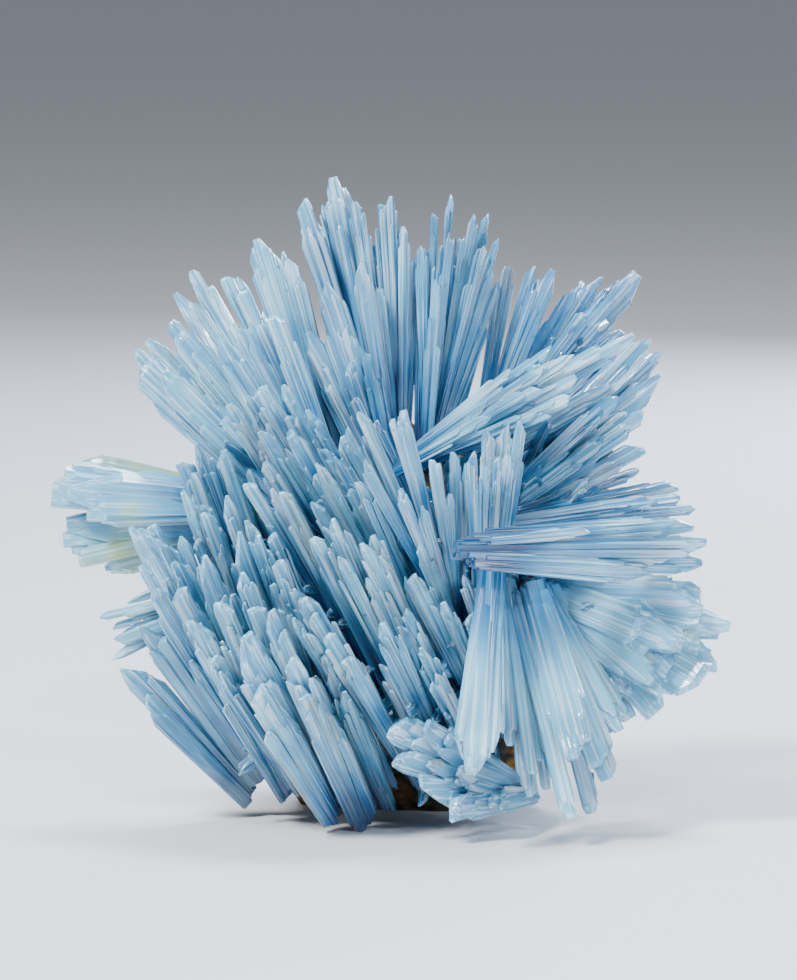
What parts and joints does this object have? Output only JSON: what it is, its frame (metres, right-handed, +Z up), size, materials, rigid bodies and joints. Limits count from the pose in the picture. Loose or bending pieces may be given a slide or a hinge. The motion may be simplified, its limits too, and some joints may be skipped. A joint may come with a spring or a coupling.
{
  "type": "barite crystal cluster",
  "caption": "Cabinet-size cluster of pale blue bladed barite crystals fanning out in sprays from a brown iron-oxide rock with a flat foot.",
  "frame": {"origin": "middle of the footprint of the whole cluster, level with the flat foot of the rock", "axes": "+Z up; -Y is the showy face of the cluster; +X is to the viewer's right"},
  "size_m": [0.1034, 0.0754, 0.0959],
  "materials": {
    "barite_pale": "milky translucent pale blue barite, glassy faces with fine lengthwise striations and whitish tips",
    "barite_blue": "translucent sky blue barite, glassy faces with fine lengthwise striations",
    "barite_deep": "clearer steel blue barite with darker violet-blue tips",
    "barite_greenish": "cloudy barite tinted yellow-green in the middle of the blades",
    "iron_oxide_rock": "dull dark brown limonite rock with ochre-yellow patches"
  },
  "bodies": {
    "root": {"matrix_rock": "iron_oxide_rock", "hanging_blade": "barite_pale", "hanging_fan": "barite_pale", "cross_bundle": "barite_blue", "right_back_laths": "barite_deep", "upright_bundle": "barite_blue", "crossing_needles": "barite_pale", "front_mass": "barite_pale", "left_upper_rows": "barite_pale", "left_lower_rows": "barite_pale", "low_middle_rows": "barite_pale", "low_front_blades": "barite_pale", "foot_blades": "barite_blue", "lower_right_fan": "barite_pale", "right_light_bundle": "barite_pale", "right_spray": "barite_blue", "upper_right_spray": "barite_deep", "needle_fan": "barite_blue", "crown_spray": "barite_blue", "upper_left_spray": "barite_pale", "left_pair": "barite_greenish", "left_needles": "barite_pale", "back_left_spray": "barite_blue", "back_right_spray": "barite_blue"}
  },
  "joints": []
}
